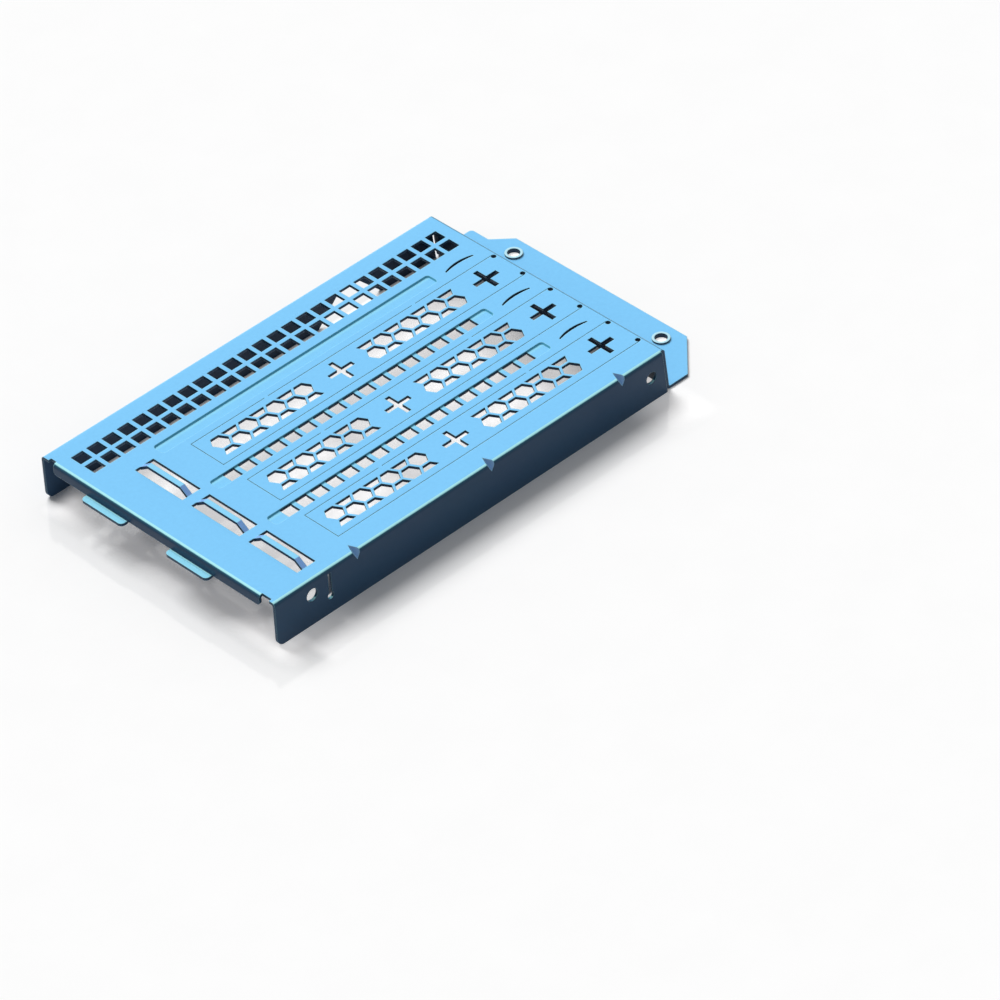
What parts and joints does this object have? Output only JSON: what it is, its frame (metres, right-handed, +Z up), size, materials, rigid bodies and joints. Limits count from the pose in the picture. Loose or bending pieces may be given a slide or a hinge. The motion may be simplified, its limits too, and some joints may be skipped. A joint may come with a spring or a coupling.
{
  "type": "riser card bracket",
  "caption": "Folded sheet-metal riser card bracket: vented top plate with knock-out slot lanes, long side walls, a lipped edge with tabs and a foot flange with screw collars.",
  "frame": {"origin": "middle of the bounding box, at its bottom, which is the underside of the foot flange and the feet of the long walls", "axes": "+X along the plate from the lip to the foot flange, +Y across it from the wall with the screw holes to the wall beside the square vents, +Z up out of the plate"},
  "size_m": [0.1534, 0.0838, 0.015],
  "materials": {
    "blue_coat": "satin"
  },
  "bodies": {
    "root": {"riser_card_bracket": "blue_coat"}
  },
  "joints": []
}
